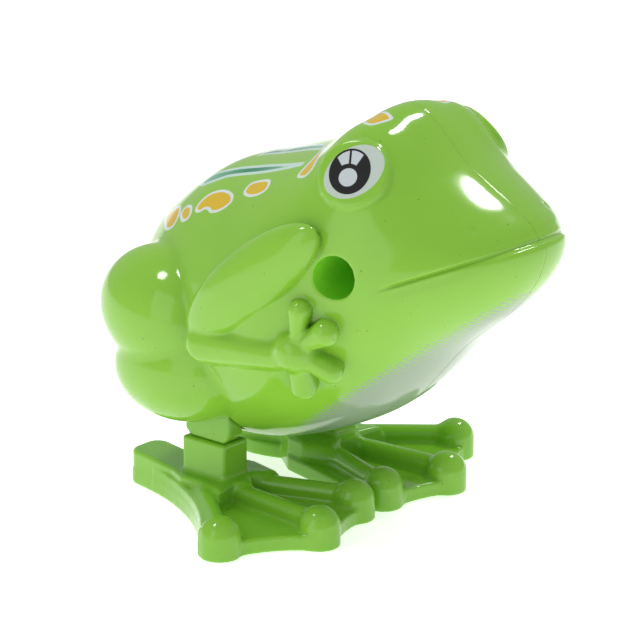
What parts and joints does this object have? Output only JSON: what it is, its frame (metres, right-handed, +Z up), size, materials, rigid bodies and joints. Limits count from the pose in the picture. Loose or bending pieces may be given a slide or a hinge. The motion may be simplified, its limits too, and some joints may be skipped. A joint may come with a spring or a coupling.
{
  "type": "wind-up jumping frog toy",
  "caption": "Plastic wind-up frog with two moulded half shells, a clockwork motor inside, a side winding knob and a pair of kicking webbed feet.",
  "frame": {"origin": "on the ground, under the middle of the body", "axes": "+X forward along the frog, +Y to its left, +Z up"},
  "size_m": [0.0649, 0.056, 0.059],
  "materials": {
    "body_plastic": "light green moulded plastic, glossy, with printed yellow spots, teal stripes, black and white eyes and a white belly",
    "leg_plastic": "light green moulded plastic, semi-gloss",
    "knob_plastic": "off-white moulded plastic",
    "motor_plastic": "natural white acetal",
    "shaft_steel": "bright drawn steel wire",
    "spring_steel": "blued spring steel strip",
    "screw_steel": "zinc-plated steel",
    "wheel_brass": "stamped brass"
  },
  "bodies": {
    "body": {"shell_right": "body_plastic", "shell_left": "body_plastic", "shell_screws": "screw_steel", "motor_plate_right": "motor_plastic", "motor_plate_left": "motor_plastic", "motor_pillars": "motor_plastic", "mainspring": "spring_steel", "leg_pivot_pin": "shaft_steel", "pivot_spacers": "shaft_steel", "pivot_clips": "spring_steel"},
    "winding": {"winding_arbor": "shaft_steel", "great_wheel": "wheel_brass", "click_spring": "spring_steel"},
    "intermediate": {"second_arbor": "shaft_steel", "intermediate_gear": "motor_plastic", "winding_knob": "knob_plastic"},
    "crank": {"crank_shaft": "shaft_steel", "crank_pinion": "motor_plastic", "crank_right": "motor_plastic", "crank_left": "motor_plastic"},
    "right_leg": {"leg_right": "leg_plastic", "foot_right": "leg_plastic"},
    "left_leg": {"leg_left": "leg_plastic", "foot_left": "leg_plastic"}
  },
  "joints": [
    {"name": "winding_turn", "type": "hinge", "parent": "body", "child": "winding", "pos_m": [0.0123, 0, 0.0397], "axis": [0, 1, 0], "range_deg": [0, 1080]},
    {"name": "intermediate_turn", "type": "hinge", "parent": "body", "child": "intermediate", "pos_m": [0.002, 0, 0.03355], "axis": [0, 1, 0], "range_deg": [-3240, 0]},
    {"name": "crank_turn", "type": "hinge", "parent": "body", "child": "crank", "pos_m": [-0.00779, 0, 0.0277], "axis": [0, 1, 0], "range_deg": [0, 9072]},
    {"name": "right_leg_kick", "type": "hinge", "parent": "body", "child": "right_leg", "pos_m": [-0.0225, 0, 0.025], "axis": [0, 1, 0], "range_deg": [0, 14]},
    {"name": "left_leg_kick", "type": "hinge", "parent": "body", "child": "left_leg", "pos_m": [-0.0225, 0, 0.025], "axis": [0, 1, 0], "range_deg": [0, 14]}
  ],
  "couplings": [
    {"joint": "intermediate_turn", "follows": "winding_turn", "ratio": -3},
    {"joint": "crank_turn", "follows": "winding_turn", "ratio": 8.4},
    {"joint": "left_leg_kick", "follows": "right_leg_kick", "ratio": 1}
  ]
}
